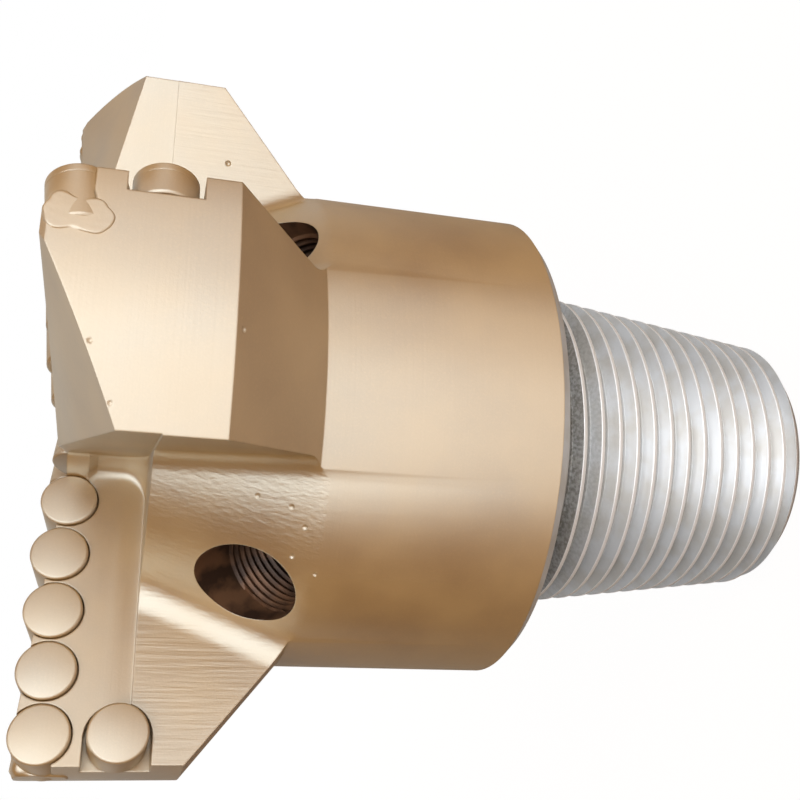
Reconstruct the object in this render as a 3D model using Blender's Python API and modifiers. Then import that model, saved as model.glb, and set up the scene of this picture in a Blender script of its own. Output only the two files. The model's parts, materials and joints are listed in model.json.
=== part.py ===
"""Four-wing PDC drill bit: one milled steel body and the round cutters brazed into it.

The bit stands on the end of its pin, with the cutting end up. Z is the bit's axis, the
origin is the centre of the pin's end face, and the first wing leads along +X.
In a wing's own frame x runs outward along its leading face, y points the way the wing
cuts, and z runs from the pin towards the nose.
"""
import math

import bmesh
import bpy
from mathutils import Matrix, Vector

# Pin: rotary shouldered connection, 5 threads to the inch on a 1:4 taper
PIN_LENGTH = 0.0797
PIN_BASE_DIAMETER = 0.0889
PIN_TAPER_SHARE = 0.25
PIN_BASE_BAND = 0.0075
PIN_END_CHAMFER = 0.0035
THREAD_PITCH = 0.00508
THREAD_DEPTH = 0.00299
THREAD_CREST = 0.00102
THREAD_FLANK_ANGLE = math.radians(30.0)
THREAD_START = -0.00915
THREAD_INTO_BAND = 0.0010
THREAD_INSET = 0.0001
BORE_DIAMETER = 0.038
BORE_PAST_SHOULDER = 0.0443
BORE_CONE_LENGTH = 0.009
BORE_MOUTH_CHAMFER = 0.002

# Turned envelope, measured up from the shoulder that the pin stands on
SHANK_DIAMETER = 0.1234
SHANK_LENGTH = 0.0574
SHANK_EDGE_CHAMFER = 0.0024
BACK_SLOPE_LENGTH = 0.0225
GAUGE_DIAMETER = 0.1774
NOSE_HEIGHT = 0.1167
NOSE_EDGE_CHAMFER = 0.0012
NOSE_DISH = 0.0070

# Wings
WING_COUNT = 4
WING_HUB_THICKNESS = 0.01225
WING_SPREAD_ANGLE = math.radians(27.0)
NOSE_LAND = 0.0158
NOSE_RELIEF_ANGLE = math.radians(26.06)
NOSE_RELIEF_START = 0.0030

# Junk slots between the wings: a sloping rear floor, then a deep front pass
SLOT_START_DROP = 0.0020
SLOT_START_INSET = 0.0002
SLOT_FLOOR_ANGLE = math.radians(22.8)
FRONT_SLOT_DEPTH = 0.0248
REAR_FACE_LEAD = 0.0010
LEADING_FILLET = 0.0090
TRAILING_FILLET = 0.0070
FRONT_TRAILING_STEP = 0.0003
HUB_DIAMETER = 0.0370
HUB_GROOVE_DIAMETER = 0.0330
HUB_GROOVE_LENGTH = 0.0120
HUB_GROOVE_FILLET = 0.0060
HUB_FILLET = 0.0030

# Cutters: round carbide posts with a diamond face, five to a wing and one more by the axis
CUTTER_ROW_COUNT = 5
CUTTER_WALL = 0.0002
CUTTER_LENGTH = 0.0132
CUTTER_FACE_CHAMFER = 0.0004
CUTTER_BACK_RAKE = math.radians(6.0)
CUTTER_LEAD = 0.0008
CUTTER_EXPOSURE = 0.0009
LAST_CUTTER_DROP = 0.0009
INNER_CUTTER_RADIUS = 0.0108
INNER_CUTTER_DROP = 0.0032
INNER_CUTTER_LEAD = 0.0035
GAUGE_CUTTER_LENGTH = 0.0080
GAUGE_CUTTER_WALL = 0.0031
GAUGE_CUTTER_EXPOSURE = 0.0004
GAUGE_CUTTER_LEAD = 0.0036
GAUGE_POCKET_ROOM = 0.0008
CORNER_CUT_DEPTH = 0.0100
CORNER_CUT_BELOW = 0.0025
CENTRE_TROUGH_END = 0.0165
CENTRE_TROUGH_SIDE = 0.0010
SEAT_GAP = 0.0003

# Nozzle sockets, one on the floor of each junk slot
NOZZLE_DIAMETER = 0.0225
NOZZLE_DEPTH = 0.0240
NOZZLE_PASSAGE_DIAMETER = 0.0150
NOZZLE_ABOVE_SHANK = 0.0119
NOZZLE_TILT = math.radians(45.0)
NOZZLE_AZIMUTH = math.radians(17.8)

# How finely round shapes are faceted
BODY_FACETS = 60
THREAD_FACETS = 24
CUTTER_FACETS = 18
NOZZLE_FACETS = 22
FILLET_FACETS = 5
FLOOR_FACETS = 7
GROOVE_FACETS = 4
REAR_FLOOR_LEVELS = 3
OVERRUN = 0.02

# Heights over the shoulder that follow from the sizes above
SLOT_START = SHANK_LENGTH - SLOT_START_DROP
SLOT_STEP_HEIGHT = NOSE_HEIGHT - FRONT_SLOT_DEPTH
NOZZLE_HEIGHT = SHANK_LENGTH + NOZZLE_ABOVE_SHANK

# The row of cutters fills a wing from the gauge to the cutter by the axis
CUTTER_SPARE = SEAT_GAP * 2 + CUTTER_WALL
CUTTER_ROW_ROOM = GAUGE_DIAMETER / 2 - INNER_CUTTER_RADIUS - CUTTER_ROW_COUNT * CUTTER_SPARE
CUTTER_DIAMETER = CUTTER_ROW_ROOM / (CUTTER_ROW_COUNT + 1 / 2)
CUTTER_OUTER_RADIUS = (GAUGE_DIAMETER - CUTTER_DIAMETER) / 2
CUTTER_SPACING = CUTTER_DIAMETER + CUTTER_SPARE
CUTTER_ROW_HEIGHT = NOSE_HEIGHT + CUTTER_EXPOSURE - CUTTER_DIAMETER / 2
GAUGE_CUTTER_RADIUS = CUTTER_OUTER_RADIUS + GAUGE_CUTTER_EXPOSURE
GAUGE_CUTTER_HEIGHT = CUTTER_ROW_HEIGHT - CUTTER_DIAMETER - GAUGE_CUTTER_WALL

# Finishes: base colour, roughness, metallic share
GOLD_PAINT = ((0.62, 0.43, 0.24, 1.0), 0.42, 0.6)
BARE_STEEL = ((0.60, 0.60, 0.60, 1.0), 0.25, 1.0)
MERGE_DISTANCE = 0.000001
SHARP_ANGLE = math.radians(30.0)


def clear_scene():
    """Remove every object, so that the file can be run again."""
    for obj in list(bpy.data.objects):
        bpy.data.objects.remove(obj, do_unlink=True)


def make_collection(name):
    """Add a collection to the scene."""
    collection = bpy.data.collections.new(name)
    bpy.context.scene.collection.children.link(collection)
    return collection


def make_finish(name, finish):
    """A Principled material from one of the finishes above."""
    colour, roughness, metallic = finish
    material = bpy.data.materials.new(name)
    material.use_nodes = True
    shader = material.node_tree.nodes["Principled BSDF"]
    shader.inputs["Base Color"].default_value = colour
    shader.inputs["Roughness"].default_value = roughness
    shader.inputs["Metallic"].default_value = metallic
    return material


def shade_by_angle(mesh):
    """Shade round surfaces smooth and keep real edges sharp."""
    mesh.shade_smooth()
    mesh.set_sharp_from_angle(angle=SHARP_ANGLE)


def add_object(name, mesh, collection, material=None):
    """Wrap a mesh in an object, in its collection."""
    obj = bpy.data.objects.new(name, mesh)
    collection.objects.link(obj)
    if material:
        mesh.materials.append(material)
    return obj


def mesh_from(bm, name):
    """Turn a bmesh into a mesh with its faces pointing out."""
    bmesh.ops.recalc_face_normals(bm, faces=bm.faces)
    mesh = bpy.data.meshes.new(name)
    bm.to_mesh(mesh)
    bm.free()
    return mesh


def rotate_to_wing(obj, index):
    """Turn an object made in the first wing's frame to another wing."""
    turn = Matrix.Rotation(index * math.tau / WING_COUNT, 4, "Z")
    obj.matrix_world = turn @ obj.matrix_world


def combine(body, shape, operation):
    """Join a shape of the cutting collection to the body, or subtract it."""
    shape.hide_render = True
    shape.display_type = "WIRE"
    modifier = body.modifiers.new(shape.name, "BOOLEAN")
    modifier.operation = operation
    modifier.object = shape


def add_cutting_shape(body, mesh, index, cutting_shapes):
    """Subtract a mesh, made in a wing's frame, from the body."""
    shape = add_object(mesh.name + "_" + str(index + 1), mesh, cutting_shapes)
    rotate_to_wing(shape, index)
    combine(body, shape, "DIFFERENCE")


def above_shoulder(height):
    """Height over the pin's end of a place measured from the shoulder."""
    return PIN_LENGTH + height


def pin_radius(height):
    """Outer radius of the tapered pin at a height over its end."""
    return (PIN_BASE_DIAMETER - (PIN_LENGTH - height) * PIN_TAPER_SHARE) / 2


def turned_profile():
    """Outline of the turned blank from the nose down to the plain band of the pin."""
    shank = SHANK_DIAMETER / 2
    gauge = GAUGE_DIAMETER / 2
    band_end = PIN_LENGTH - PIN_BASE_BAND
    return [
        (0, above_shoulder(NOSE_HEIGHT - NOSE_DISH)),
        (gauge - NOSE_EDGE_CHAMFER, above_shoulder(NOSE_HEIGHT)),
        (gauge, above_shoulder(NOSE_HEIGHT - NOSE_EDGE_CHAMFER)),
        (gauge, above_shoulder(SHANK_LENGTH + BACK_SLOPE_LENGTH)),
        (shank, above_shoulder(SHANK_LENGTH)),
        (shank, above_shoulder(SHANK_EDGE_CHAMFER)),
        (shank - SHANK_EDGE_CHAMFER, PIN_LENGTH),
        (pin_radius(PIN_LENGTH), PIN_LENGTH),
        (pin_radius(band_end), band_end),
        (0, band_end),
    ]


def bore_profile():
    """Outline of the bore from its bottom down to its chamfered mouth."""
    bore = BORE_DIAMETER / 2
    bore_end = above_shoulder(BORE_PAST_SHOULDER)
    return [
        (0, bore_end),
        (bore, bore_end - BORE_CONE_LENGTH),
        (bore, BORE_MOUTH_CHAMFER),
        (bore + BORE_MOUTH_CHAMFER + SEAT_GAP, -SEAT_GAP),
        (0, -SEAT_GAP),
    ]


def turned_object(name, profile, collection, material=None):
    """A shape as it comes off the lathe: a Screw modifier turns its outline."""
    bm = bmesh.new()
    corners = [bm.verts.new((radius, 0, height)) for radius, height in profile]
    for first, second in zip(corners, corners[1:]):
        bm.edges.new((first, second))
    mesh = bpy.data.meshes.new(name)
    bm.to_mesh(mesh)
    bm.free()
    turned = add_object(name, mesh, collection, material)
    screw = turned.modifiers.new("turning", "SCREW")
    screw.steps = BODY_FACETS
    screw.render_steps = BODY_FACETS
    screw.use_merge_vertices = True
    screw.merge_threshold = MERGE_DISTANCE
    return turned


def threaded_rod():
    """The threaded length of the pin: one turn's outline wound up, then cut off square.

    It is wound straight first. Each corner then moves to the pin's own radius at its
    height, which gives the taper and the chamfer at the end.
    """
    flank = THREAD_DEPTH * math.tan(THREAD_FLANK_ANGLE)
    root = THREAD_PITCH - THREAD_CREST - flank * 2
    straight = PIN_BASE_DIAMETER / 2
    outline = (
        (straight - THREAD_DEPTH, 0),
        (straight - THREAD_DEPTH, root),
        (straight, root + flank),
        (straight, root + flank + THREAD_CREST),
        (straight - THREAD_DEPTH, THREAD_PITCH),
    )
    end = PIN_LENGTH - PIN_BASE_BAND + THREAD_INTO_BAND
    turns = (end - THREAD_START) / THREAD_PITCH + 1
    steps = math.ceil(turns * THREAD_FACETS)

    bm = bmesh.new()
    corners = [bm.verts.new((radius, 0, THREAD_START + height)) for radius, height in outline]
    edges = [bm.edges.new(pair) for pair in zip(corners, corners[1:])]
    bmesh.ops.spin(
        bm, geom=corners + edges, axis=(0, 0, 1), dvec=(0, 0, THREAD_PITCH / THREAD_FACETS),
        angle=math.tau / THREAD_FACETS * steps, steps=steps,
    )
    bmesh.ops.remove_doubles(bm, verts=bm.verts, dist=SEAT_GAP / 10)
    for height, side in ((0, -1), (end, 1)):
        whole = bm.verts[:] + bm.edges[:] + bm.faces[:]
        bmesh.ops.bisect_plane(
            bm, geom=whole, plane_co=(0, 0, height), plane_no=(0, 0, side), clear_outer=True
        )
    chamfer_start = pin_radius(PIN_END_CHAMFER) - PIN_END_CHAMFER
    for corner in bm.verts:
        radius = corner.co.xy.length
        tapered = radius - straight + pin_radius(corner.co.z) - THREAD_INSET
        tapered = min(tapered, chamfer_start + corner.co.z)
        corner.co.x *= tapered / radius
        corner.co.y *= tapered / radius
    bmesh.ops.holes_fill(bm, edges=[edge for edge in bm.edges if edge.is_boundary])
    bmesh.ops.triangulate(bm, faces=bm.faces)
    return mesh_from(bm, "threaded_rod")


def arc(centre, radius, start, end, steps):
    """Points along an arc between two angles."""
    share = (end - start) / steps
    return [
        centre + radius * Vector((math.cos(start + share * i), math.sin(start + share * i)))
        for i in range(steps + 1)
    ]


def slot_section(floor, face_lead, thickness, lead_fillet, trail_fillet):
    """Section across a junk slot whose floor is an arc around the bit's axis.

    The slot lies between one wing's leading face, y = face_lead, and the trailing face of
    the next wing, which stands thickness away from it and spreads outward.
    """
    reach = GAUGE_DIAMETER / 2 + OVERRUN * 2
    spread = WING_SPREAD_ANGLE
    outward = Vector((math.sin(spread), math.cos(spread)))
    away = Vector((math.cos(spread), -math.sin(spread)))
    stand_off = thickness * math.cos(spread)

    lead_ring = floor + lead_fillet
    lead_rise = face_lead + lead_fillet
    lead_centre = Vector((math.sqrt(lead_ring ** 2 - lead_rise ** 2), lead_rise))
    lead_angle = math.atan2(lead_centre.y, lead_centre.x)

    trail_ring = floor + trail_fillet
    trail_rise = stand_off + trail_fillet
    along = math.sqrt(trail_ring ** 2 - trail_rise ** 2)
    trail_centre = away * trail_rise + outward * along
    trail_angle = math.atan2(trail_centre.y, trail_centre.x)

    down = -math.pi / 2
    points = [Vector((reach, face_lead))]
    points += arc(lead_centre, lead_fillet, down, lead_angle - math.pi, FILLET_FACETS)
    points += arc(Vector((0, 0)), floor, lead_angle, trail_angle, FLOOR_FACETS)[1:-1]
    points += arc(trail_centre, trail_fillet, trail_angle + math.pi, math.pi - spread, FILLET_FACETS)
    points.append(away * stand_off + outward * reach)
    return points


def loft(name, sections):
    """Closed solid through matching outlines, each given with its height."""
    bm = bmesh.new()
    rings = [[bm.verts.new((p.x, p.y, height)) for p in outline] for height, outline in sections]
    for lower, upper in zip(rings, rings[1:]):
        for i in range(len(lower)):
            j = (i + 1) % len(lower)
            bm.faces.new((lower[i], lower[j], upper[j], upper[i]))
    bm.faces.new(rings[0])
    bm.faces.new(rings[-1])
    bmesh.ops.triangulate(bm, faces=bm.faces)
    return mesh_from(bm, name)


def slot_floor(height):
    """Radius of the rear floor at a height over the shoulder."""
    start = SHANK_DIAMETER / 2 - SLOT_START_INSET
    return start - (height - SLOT_START) * math.tan(SLOT_FLOOR_ANGLE)


def rear_slot():
    """Tool shape of the rear pass: it rises out of the shank along a sloping floor."""
    start = SLOT_START - OVERRUN / 2
    end = SLOT_STEP_HEIGHT + SEAT_GAP
    sections = []
    for i in range(REAR_FLOOR_LEVELS + 1):
        height = start + (end - start) * i / REAR_FLOOR_LEVELS
        outline = slot_section(
            slot_floor(height), REAR_FACE_LEAD, WING_HUB_THICKNESS, LEADING_FILLET, TRAILING_FILLET
        )
        sections.append((above_shoulder(height), outline))
    return loft("rear_slot", sections)


def front_slot():
    """Tool shape of the deep front pass, with the rounded groove around the hub."""
    groove = HUB_GROOVE_DIAMETER / 2
    hub = HUB_DIAMETER / 2
    levels = []
    for i in range(GROOVE_FACETS + 1):
        turn = math.pi / 2 * i / GROOVE_FACETS
        levels.append((
            SLOT_STEP_HEIGHT + HUB_GROOVE_FILLET * (1 - math.cos(turn)),
            groove + HUB_GROOVE_FILLET * (1 - math.sin(turn)),
        ))
    groove_end = SLOT_STEP_HEIGHT + HUB_GROOVE_LENGTH
    levels.append((groove_end, groove))
    levels.append((groove_end + hub - groove, hub))
    levels.append((NOSE_HEIGHT + OVERRUN, hub))
    thickness = WING_HUB_THICKNESS - FRONT_TRAILING_STEP
    sections = [
        (above_shoulder(height), slot_section(floor, 0, thickness, HUB_FILLET, HUB_FILLET))
        for height, floor in levels
    ]
    return loft("front_slot", sections)


def block(name, low, high):
    """A box between two corners."""
    bm = bmesh.new()
    bmesh.ops.create_cube(bm, size=1.0)
    size = [b - a for a, b in zip(low, high)]
    middle = [(a + b) / 2 for a, b in zip(low, high)]
    bmesh.ops.scale(bm, vec=size, verts=bm.verts)
    bmesh.ops.translate(bm, vec=middle, verts=bm.verts)
    return mesh_from(bm, name)


def nose_relief():
    """Sloping cut that clears the nose behind the cutters."""
    reach = GAUGE_DIAMETER / 2 + OVERRUN
    mesh = block("nose_relief", (NOSE_RELIEF_START, -reach, 0), (reach, 0, OVERRUN * 2))
    slope = Matrix.Rotation(NOSE_RELIEF_ANGLE, 4, "X")
    hinge = Matrix.Translation((0, -NOSE_LAND, above_shoulder(NOSE_HEIGHT)))
    mesh.transform(hinge @ slope)
    return mesh


def post(name, radius, back, front, facets, chamfer=0):
    """A round post along y, from back to front, with a chamfer round its front face."""
    bm = bmesh.new()
    length = front - back
    made = bmesh.ops.create_cone(
        bm, cap_ends=True, segments=facets, radius1=radius, radius2=radius, depth=length
    )
    bmesh.ops.rotate(bm, cent=(0, 0, 0), matrix=Matrix.Rotation(-math.pi / 2, 3, "X"), verts=made["verts"])
    bmesh.ops.translate(bm, vec=(0, (front + back) / 2, 0), verts=made["verts"])
    if chamfer:
        rim = [
            edge for edge in bm.edges
            if all(abs(vert.co.y - front) < chamfer / 2 for vert in edge.verts)
        ]
        bmesh.ops.bevel(
            bm, geom=rim, offset=chamfer, segments=1, profile=0.5, affect="EDGES", material=-1
        )
    return mesh_from(bm, name)


def cutter_frame(radius, height, lead, rake):
    """Place of a cutter's face centre in the wing's frame, leaned back by its rake."""
    place = Matrix.Translation((radius, lead, above_shoulder(height)))
    return place @ Matrix.Rotation(rake, 4, "X")


def reaches_centre(wing):
    """Whether a wing is one of the second and fourth, which carry one cutter more."""
    return wing % 2 == 1


def row_cutters():
    """Radius, height and lead of each cutter in a wing's full row, from the outside in."""
    drops = [0] * (CUTTER_ROW_COUNT - 1) + [LAST_CUTTER_DROP]
    return [
        (CUTTER_OUTER_RADIUS - i * CUTTER_SPACING, CUTTER_ROW_HEIGHT - drop, CUTTER_LEAD)
        for i, drop in enumerate(drops)
    ]


def inner_cutter():
    """Radius, height and lead of the extra cutter next to the bit's axis."""
    return (INNER_CUTTER_RADIUS, CUTTER_ROW_HEIGHT - INNER_CUTTER_DROP, INNER_CUTTER_LEAD)


def wing_cutters(wing):
    """Places of all the nose cutters that one wing carries."""
    places = row_cutters()
    if reaches_centre(wing):
        places.append(inner_cutter())
    return places


def pocket(place):
    """Round seat of one nose cutter, open to the front."""
    radius, height, lead = place
    mesh = post(
        "cutter_pocket",
        CUTTER_DIAMETER / 2 + SEAT_GAP,
        -CUTTER_LENGTH - SEAT_GAP,
        CUTTER_DIAMETER / 2,
        CUTTER_FACETS,
    )
    mesh.transform(cutter_frame(radius, height, lead, CUTTER_BACK_RAKE))
    return mesh


def corner_cut():
    """The corner milled away round the outermost cutter, so that it stands free."""
    top = NOSE_HEIGHT + OVERRUN
    return block(
        "corner_cut",
        (CUTTER_OUTER_RADIUS, -CORNER_CUT_DEPTH, above_shoulder(CUTTER_ROW_HEIGHT - CORNER_CUT_BELOW)),
        (CUTTER_OUTER_RADIUS + OVERRUN, OVERRUN, above_shoulder(top)),
    )


def centre_trough():
    """Room in front of an innermost cutter, out of the root of the wing ahead."""
    radius, height, lead = inner_cutter()
    reach = CUTTER_DIAMETER / 2 + SEAT_GAP
    rim = arc(Vector((radius, 0)), reach, 0, -math.pi / 2, FILLET_FACETS)
    outline = [Vector((radius + reach, OVERRUN))] + rim
    outline += [Vector((-CENTRE_TROUGH_SIDE, -reach)), Vector((-CENTRE_TROUGH_SIDE, OVERRUN))]
    mesh = loft("centre_trough", [(lead - SEAT_GAP, outline), (CENTRE_TROUGH_END, outline)])
    upright = Matrix(((1, 0, 0, 0), (0, 0, 1, 0), (0, 1, 0, above_shoulder(height)), (0, 0, 0, 1)))
    mesh.transform(upright)
    mesh.flip_normals()
    return mesh


def gauge_pocket():
    """Notch of the gauge cutter: open at the outside, round at its inner end."""
    half = CUTTER_DIAMETER / 2 + GAUGE_POCKET_ROOM
    floor = GAUGE_CUTTER_LEAD - GAUGE_CUTTER_LENGTH - SEAT_GAP
    seat = Vector((GAUGE_CUTTER_RADIUS, 0))
    outline = arc(seat, half, math.pi / 2, math.pi * 3 / 2, CUTTER_FACETS // 2)
    outline += [seat + Vector((OVERRUN, -half)), seat + Vector((OVERRUN, half))]
    mesh = loft("gauge_pocket", [(floor, outline), (OVERRUN, outline)])
    height = above_shoulder(GAUGE_CUTTER_HEIGHT)
    mesh.transform(Matrix(((1, 0, 0, 0), (0, 0, 1, 0), (0, 1, 0, height), (0, 0, 0, 1))))
    mesh.flip_normals()
    return mesh


def nozzle_hole(name, diameter, inner, outer):
    """Round hole along a nozzle's axis, between two distances from the slot's floor."""
    mesh = post(name, diameter / 2, inner, outer, NOZZLE_FACETS)
    azimuth = NOZZLE_AZIMUTH
    floor = slot_floor(NOZZLE_HEIGHT)
    outward = Matrix.Rotation(NOZZLE_TILT, 4, "X")
    lean = Matrix.Rotation(-math.pi / 2, 4, "Z")
    place = Matrix.Translation((floor, 0, above_shoulder(NOZZLE_HEIGHT)))
    mesh.transform(Matrix.Rotation(azimuth, 4, "Z") @ place @ lean @ outward)
    return mesh


def turn_body(collection, cutting_shapes, material):
    """The turned blank with its threaded pin and its bore."""
    body = turned_object("bit_body", turned_profile(), collection, material)
    combine(body, add_object("threaded_rod", threaded_rod(), cutting_shapes), "UNION")
    combine(body, turned_object("bore", bore_profile(), cutting_shapes), "DIFFERENCE")
    return body


def mill_body(body, cutting_shapes):
    """Cut the slots, reliefs, pockets and nozzle holes of every wing."""
    through = slot_floor(NOZZLE_HEIGHT) / math.sin(NOZZLE_TILT)
    shared = [
        rear_slot(),
        front_slot(),
        nose_relief(),
        corner_cut(),
        gauge_pocket(),
        nozzle_hole("nozzle_socket", NOZZLE_DIAMETER, -NOZZLE_DEPTH, OVERRUN),
        nozzle_hole("nozzle_passage", NOZZLE_PASSAGE_DIAMETER, -through, -NOZZLE_DEPTH + SEAT_GAP),
    ]
    trough = centre_trough()
    for wing in range(WING_COUNT):
        for mesh in shared:
            add_cutting_shape(body, mesh, wing, cutting_shapes)
        for place in wing_cutters(wing):
            add_cutting_shape(body, pocket(place), wing, cutting_shapes)
        if reaches_centre(wing):
            add_cutting_shape(body, trough, wing, cutting_shapes)


def finish_body(body, steel):
    """Apply the cuts, mark the real edges and leave the pin below the paint bare."""
    graph = bpy.context.evaluated_depsgraph_get()
    mesh = bpy.data.meshes.new_from_object(body.evaluated_get(graph))
    body.modifiers.clear()
    body.data = mesh
    shade_by_angle(mesh)
    mesh.materials.append(steel)
    painted = PIN_LENGTH + SHANK_EDGE_CHAMFER
    for face in mesh.polygons:
        if face.center.z < painted:
            face.material_index = 1


def add_cutters(collection, material):
    """Every cutter as its own solid, numbered from the outside in."""
    radius = CUTTER_DIAMETER / 2
    nose = post("nose_cutter", radius, -CUTTER_LENGTH, 0, CUTTER_FACETS, CUTTER_FACE_CHAMFER)
    gauge = post("gauge_cutter", radius, -GAUGE_CUTTER_LENGTH, 0, CUTTER_FACETS, CUTTER_FACE_CHAMFER)
    for mesh in (nose, gauge):
        mesh.materials.append(material)
        shade_by_angle(mesh)
    for wing in range(WING_COUNT):
        label = "wing_" + str(wing + 1)
        for i, (distance, height, lead) in enumerate(wing_cutters(wing)):
            cutter = add_object(label + "_nose_cutter_" + str(i + 1), nose, collection)
            cutter.matrix_world = cutter_frame(distance, height, lead, CUTTER_BACK_RAKE)
            rotate_to_wing(cutter, wing)
        cutter = add_object(label + "_gauge_cutter", gauge, collection)
        cutter.matrix_world = cutter_frame(GAUGE_CUTTER_RADIUS, GAUGE_CUTTER_HEIGHT, GAUGE_CUTTER_LEAD, 0)
        rotate_to_wing(cutter, wing)


def main():
    """Turn and thread the blank, mill it, then braze the cutters into it."""
    clear_scene()
    bit = make_collection("pdc_drill_bit")
    cutting_shapes = make_collection("cutting_shapes")
    paint = make_finish("gold_paint", GOLD_PAINT)
    steel = make_finish("bare_steel", BARE_STEEL)
    body = turn_body(bit, cutting_shapes, paint)
    mill_body(body, cutting_shapes)
    finish_body(body, steel)
    add_cutters(bit, paint)


main()
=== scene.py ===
"""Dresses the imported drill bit: a painted crown, a bare threaded pin and brazed cutters.

The frame is the CAD model. Z is the bit's axis, the origin is the centre of the pin's end
face, and the first wing leads along +X. In a wing's own frame x runs outward along its
leading face, y points the way the wing cuts, and z runs from the pin towards the nose.
Sizes are in metres.
"""

import json
import logging
import math
import random
from dataclasses import dataclass
from enum import Enum
from typing import Callable, Iterable, Sequence

import bmesh
import bpy
from mathutils import Matrix, Vector

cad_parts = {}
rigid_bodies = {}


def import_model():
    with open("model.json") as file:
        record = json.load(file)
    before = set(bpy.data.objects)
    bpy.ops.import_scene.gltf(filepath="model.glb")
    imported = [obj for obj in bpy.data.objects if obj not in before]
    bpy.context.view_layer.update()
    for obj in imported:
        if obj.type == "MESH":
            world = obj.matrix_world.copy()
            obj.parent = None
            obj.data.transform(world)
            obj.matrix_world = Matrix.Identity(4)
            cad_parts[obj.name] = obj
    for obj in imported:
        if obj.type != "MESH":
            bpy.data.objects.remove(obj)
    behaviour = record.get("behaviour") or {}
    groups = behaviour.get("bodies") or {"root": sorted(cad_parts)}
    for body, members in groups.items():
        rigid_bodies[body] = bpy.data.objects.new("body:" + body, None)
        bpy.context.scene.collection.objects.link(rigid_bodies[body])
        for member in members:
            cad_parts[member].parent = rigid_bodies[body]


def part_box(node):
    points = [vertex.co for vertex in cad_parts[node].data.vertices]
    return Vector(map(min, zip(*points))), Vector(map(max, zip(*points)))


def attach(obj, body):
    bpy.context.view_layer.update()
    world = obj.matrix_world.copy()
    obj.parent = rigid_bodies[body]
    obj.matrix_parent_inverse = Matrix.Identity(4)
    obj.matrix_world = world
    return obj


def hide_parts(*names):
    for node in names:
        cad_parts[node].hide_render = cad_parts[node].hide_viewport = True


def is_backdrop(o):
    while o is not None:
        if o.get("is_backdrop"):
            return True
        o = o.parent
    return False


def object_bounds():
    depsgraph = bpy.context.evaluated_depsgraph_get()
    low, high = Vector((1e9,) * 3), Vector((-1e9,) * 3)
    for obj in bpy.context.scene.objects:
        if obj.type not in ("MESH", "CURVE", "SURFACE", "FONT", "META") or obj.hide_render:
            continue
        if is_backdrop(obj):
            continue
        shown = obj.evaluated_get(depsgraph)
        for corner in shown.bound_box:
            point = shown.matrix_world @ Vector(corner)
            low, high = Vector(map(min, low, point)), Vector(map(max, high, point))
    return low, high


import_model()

LOG = logging.getLogger("drill_bit")
MM = 0.001
MERGE = 0.000002
AXIS = (0.0, 0.0, 1.0)
CENTRE = (0.0, 0.0, 0.0)
SHARP_ANGLE = math.radians(32.0)
WHITE = (1.0, 1.0, 1.0, 1.0)
EDGE_SAMPLES = 6
# Layers of finer noise in a pattern, from a soft one to a ragged one.
SOFT = 2.0
PLAIN = 3.0
ROUGH = 4.0
RAGGED = 5.0
Place = tuple[float, float]
Point = tuple[float, float, float]
Section = tuple[float, list[Vector]]


class Slot(Enum):
    """The record's material slots."""

    BODY = "gold_paint"
    CUTTER = "painted_cutter"


class CutterKind(Enum):
    """The two kinds of cutter on a wing, named as their nodes are."""

    NOSE = "nose_cutter"
    GAUGE = "gauge_cutter"


class Marks(Enum):
    """Which way the tool marks run under the paint."""

    TURNED = "round the axis"
    MILLED = "along the axis"


class Skin(Enum):
    """Finish of a face of the crown, by the order of its materials."""

    PAINT = 0
    STEEL = 1
    BORE = 2
    MILLED = 3


class Cut(Enum):
    """What is left of a blank where a tool meets it."""

    AWAY = "DIFFERENCE"
    COMMON = "INTERSECT"


def linear(hex_colour: str) -> tuple[float, float, float, float]:
    """Turn an sRGB hex colour into a linear one.

    Args:
        hex_colour: Six hex digits.

    Returns:
        Red, green, blue and an alpha of one.
    """
    shares = [int(hex_colour[i:i + 2], 16) / 255 for i in (0, 2, 4)]
    values = [c / 12.92 if c <= 0.04045 else ((c + 0.055) / 1.055) ** 2.4 for c in shares]
    return (*values, 1.0)


def add(
    tree: bpy.types.NodeTree, kind: str, settings: dict | None = None, **inputs: object
) -> bpy.types.Node:
    """Add a node with its settings, values and links.

    Args:
        tree: Node tree that it goes into.
        kind: Node type after the word ShaderNode.
        settings: Properties of the node itself.
        inputs: Value or socket for each input, named with _ for a space; a name such as
            in_1 means the input of that number.

    Returns:
        The new node.
    """
    node = tree.nodes.new("ShaderNode" + kind)
    for name, value in (settings or {}).items():
        setattr(node, name, value)
    for name, value in inputs.items():
        key = int(name[3:]) if name.startswith("in_") else name.replace("_", " ")
        if isinstance(value, bpy.types.NodeSocket):
            tree.links.new(value, node.inputs[key])
        else:
            node.inputs[key].default_value = value
    return node


def new_material(name: str) -> tuple[bpy.types.Material, bpy.types.Node]:
    """Start a material.

    Args:
        name: Its name.

    Returns:
        The material and its Principled shader.
    """
    material = bpy.data.materials.new(name)
    material.use_nodes = True
    return material, material.node_tree.nodes["Principled BSDF"]


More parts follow.
